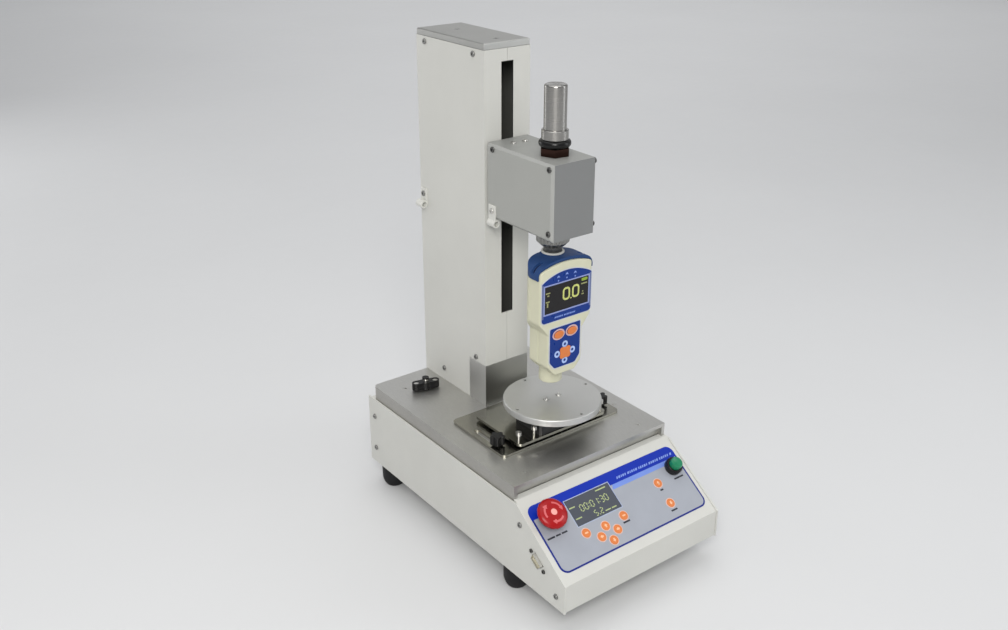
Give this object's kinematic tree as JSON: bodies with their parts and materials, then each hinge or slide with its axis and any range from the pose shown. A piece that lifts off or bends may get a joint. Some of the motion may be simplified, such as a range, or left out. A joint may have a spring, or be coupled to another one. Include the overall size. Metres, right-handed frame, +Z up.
{
  "type": "durometer test stand",
  "caption": "Motorised bench stand that lowers a digital hardness gauge on to a turning specimen table, with a sloping control panel and a tall covered lift column.",
  "frame": {"origin": "on the bench, under the middle of the case", "axes": "+Z up along the column, -Y towards the person at the control panel, +X to that person's right"},
  "size_m": [0.2299, 0.3805, 0.5623],
  "materials": {
    "powder_white": "warm white powder coat, fine texture",
    "anodised": "clear anodised, satin",
    "steel": "turned and ground steel",
    "dark_metal": "black, satin",
    "bronze": "dark oiled bearing bronze",
    "rubber": "black moulded rubber",
    "dark_plastic": "black moulded plastic",
    "cream": "cream moulded plastic, fine grain",
    "blue_soft": "blue soft-touch moulding",
    "label_blue": "printed polyester sheet",
    "glass_dark": "dark screen glass",
    "nylon": "natural white nylon",
    "red": "glossy red moulding",
    "green": "green translucent cap",
    "orange": "orange key"
  },
  "bodies": {
    "stand": {"side_plates": "powder_white", "front_panel": "powder_white", "case_sheets": "powder_white", "base_plate": "anodised", "rubber_feet": "rubber", "frame_posts": "steel", "stand_screws": "steel", "panel_label": "label_blue", "electronics": "dark_plastic", "button_bodies": "dark_plastic", "serial_connector": "steel", "mains_inlet": "dark_plastic", "column_frame": "anodised", "column_covers": "powder_white", "column_cap": "anodised", "lift_guides": "steel", "lift_motor": "dark_metal", "column_cable_clip": "nylon"},
    "arm": {"lift_carriage": "anodised", "arm_frame": "anodised", "arm_covers": "powder_white", "arm_screws": "steel", "spindle_bushes": "bronze", "arm_cable_clip": "nylon"},
    "lead_screw": {"lead_screw": "steel"},
    "spindle": {"spindle": "steel", "bumper_ring": "rubber", "load_weight": "steel", "nylon_washer": "nylon", "durometer_front_shell": "cream", "durometer_rear_shell": "cream", "durometer_top_cap": "blue_soft", "durometer_labels": "label_blue", "durometer_display": "glass_dark", "durometer_nose": "cream", "indenter_spring": "steel"},
    "lock_nut": {"lock_nut": "steel"},
    "indenter": {"indenter": "steel"},
    "stage": {"stage_plates": "anodised", "stage_screws": "steel", "table_motor": "dark_metal"},
    "table": {"round_table": "anodised"},
    "clamp_knob_left": {"clamp_knob_left": "dark_plastic"},
    "clamp_knob_right": {"clamp_knob_right": "dark_plastic"},
    "rear_knob": {"rear_knob": "dark_plastic"},
    "estop_stem": {"estop_stem": "dark_plastic"},
    "estop_head": {"estop_head": "red"},
    "start_button_cap": {"start_button_cap": "green"},
    "power_rocker": {"power_rocker": "dark_plastic"},
    "durometer_key_left": {"durometer_key_left": "orange"},
    "durometer_key_right": {"durometer_key_right": "orange"},
    "durometer_round_key": {"durometer_round_key": "orange"},
    "set_key": {"set_key": "orange"},
    "arrow_up_key": {"arrow_up_key": "orange"},
    "arrow_down_key": {"arrow_down_key": "orange"},
    "arrow_left_key": {"arrow_left_key": "orange"},
    "arrow_right_key": {"arrow_right_key": "orange"},
    "mode_key": {"mode_key": "orange"},
    "jog_up_key": {"jog_up_key": "orange"},
    "jog_down_key": {"jog_down_key": "orange"}
  },
  "joints": [
    {"name": "arm_lift", "type": "slide", "parent": "stand", "child": "arm", "axis": [0, 0, 1], "range_m": [-0.019, 0.09]},
    {"name": "screw_turn", "type": "hinge", "parent": "stand", "child": "lead_screw", "pos_m": [0, 0.105, 0.3], "axis": [0, 0, 1], "continuous": true},
    {"name": "spindle_float", "type": "slide", "parent": "arm", "child": "spindle", "axis": [0, 0, 1], "range_m": [0, 0.0037]},
    {"name": "lock_nut_turn", "type": "hinge", "parent": "spindle", "child": "lock_nut", "pos_m": [0, -0.026, 0.365], "axis": [0, 0, 1], "range_deg": [0, 180]},
    {"name": "indenter_press", "type": "slide", "parent": "spindle", "child": "indenter", "axis": [0, 0, 1], "range_m": [0, 0.0025], "stiffness_N_per_m": 3000, "springref_m": -0.0002, "deforming": ["indenter_spring"]},
    {"name": "stage_slide", "type": "slide", "parent": "stand", "child": "stage", "axis": [0, -1, 0], "range_m": [0, 0.038]},
    {"name": "table_spin", "type": "hinge", "parent": "stage", "child": "table", "pos_m": [0, -0.0304, 0.172], "axis": [0, 0, 1], "continuous": true},
    {"name": "clamp_turn_left", "type": "hinge", "parent": "stand", "child": "clamp_knob_left", "pos_m": [-0.076, -0.028, 0.146], "axis": [0, 0, 1], "range_deg": [0, 180]},
    {"name": "clamp_turn_right", "type": "hinge", "parent": "stand", "child": "clamp_knob_right", "pos_m": [0.076, -0.028, 0.146], "axis": [0, 0, 1], "range_deg": [0, 180]},
    {"name": "rear_knob_turn", "type": "hinge", "parent": "stand", "child": "rear_knob", "pos_m": [-0.0633, 0.1349, 0.145], "axis": [0, 0, 1], "range_deg": [0, 180]},
    {"name": "estop_press", "type": "slide", "parent": "stand", "child": "estop_stem", "axis": [0, 0.5709, -0.821], "range_m": [0, 0.004]},
    {"name": "estop_twist", "type": "hinge", "parent": "estop_stem", "child": "estop_head", "pos_m": [-0.0876, -0.13771, 0.11353], "axis": [0, 0.5709, -0.821], "range_deg": [0, 45], "stiffness_Nm_per_rad": 0.2},
    {"name": "start_press", "type": "slide", "parent": "stand", "child": "start_button_cap", "axis": [0, 0.5709, -0.821], "range_m": [0, 0.003], "stiffness_N_per_m": 800},
    {"name": "power_switch", "type": "hinge", "parent": "stand", "child": "power_rocker", "pos_m": [-0.035, 0.1836, 0.075], "axis": [1, 0, 0], "range_deg": [0, 18]},
    {"name": "set_key_press", "type": "slide", "parent": "stand", "child": "set_key", "axis": [0, 0.5709, -0.821], "range_m": [0, 0.0004], "stiffness_N_per_m": 3000},
    {"name": "arrow_up_key_press", "type": "slide", "parent": "stand", "child": "arrow_up_key", "axis": [0, 0.5709, -0.821], "range_m": [0, 0.0004], "stiffness_N_per_m": 3000},
    {"name": "arrow_down_key_press", "type": "slide", "parent": "stand", "child": "arrow_down_key", "axis": [0, 0.5709, -0.821], "range_m": [0, 0.0004], "stiffness_N_per_m": 3000},
    {"name": "arrow_left_key_press", "type": "slide", "parent": "stand", "child": "arrow_left_key", "axis": [0, 0.5709, -0.821], "range_m": [0, 0.0004], "stiffness_N_per_m": 3000},
    {"name": "arrow_right_key_press", "type": "slide", "parent": "stand", "child": "arrow_right_key", "axis": [0, 0.5709, -0.821], "range_m": [0, 0.0004], "stiffness_N_per_m": 3000},
    {"name": "mode_key_press", "type": "slide", "parent": "stand", "child": "mode_key", "axis": [0, 0.5709, -0.821], "range_m": [0, 0.0004], "stiffness_N_per_m": 3000},
    {"name": "jog_up_key_press", "type": "slide", "parent": "stand", "child": "jog_up_key", "axis": [0, 0.5709, -0.821], "range_m": [0, 0.0004], "stiffness_N_per_m": 3000},
    {"name": "jog_down_key_press", "type": "slide", "parent": "stand", "child": "jog_down_key", "axis": [0, 0.5709, -0.821], "range_m": [0, 0.0004], "stiffness_N_per_m": 3000},
    {"name": "durometer_key_left_press", "type": "slide", "parent": "spindle", "child": "durometer_key_left", "axis": [0, 1, 0], "range_m": [0, 0.0005], "stiffness_N_per_m": 3000},
    {"name": "durometer_key_right_press", "type": "slide", "parent": "spindle", "child": "durometer_key_right", "axis": [0, 1, 0], "range_m": [0, 0.0005], "stiffness_N_per_m": 3000},
    {"name": "durometer_round_key_press", "type": "slide", "parent": "spindle", "child": "durometer_round_key", "axis": [0, 1, 0], "range_m": [0, 0.0005], "stiffness_N_per_m": 3000}
  ],
  "couplings": [
    {"joint": "screw_turn", "follows": "arm_lift", "rad_per_m": -1256.6}
  ]
}
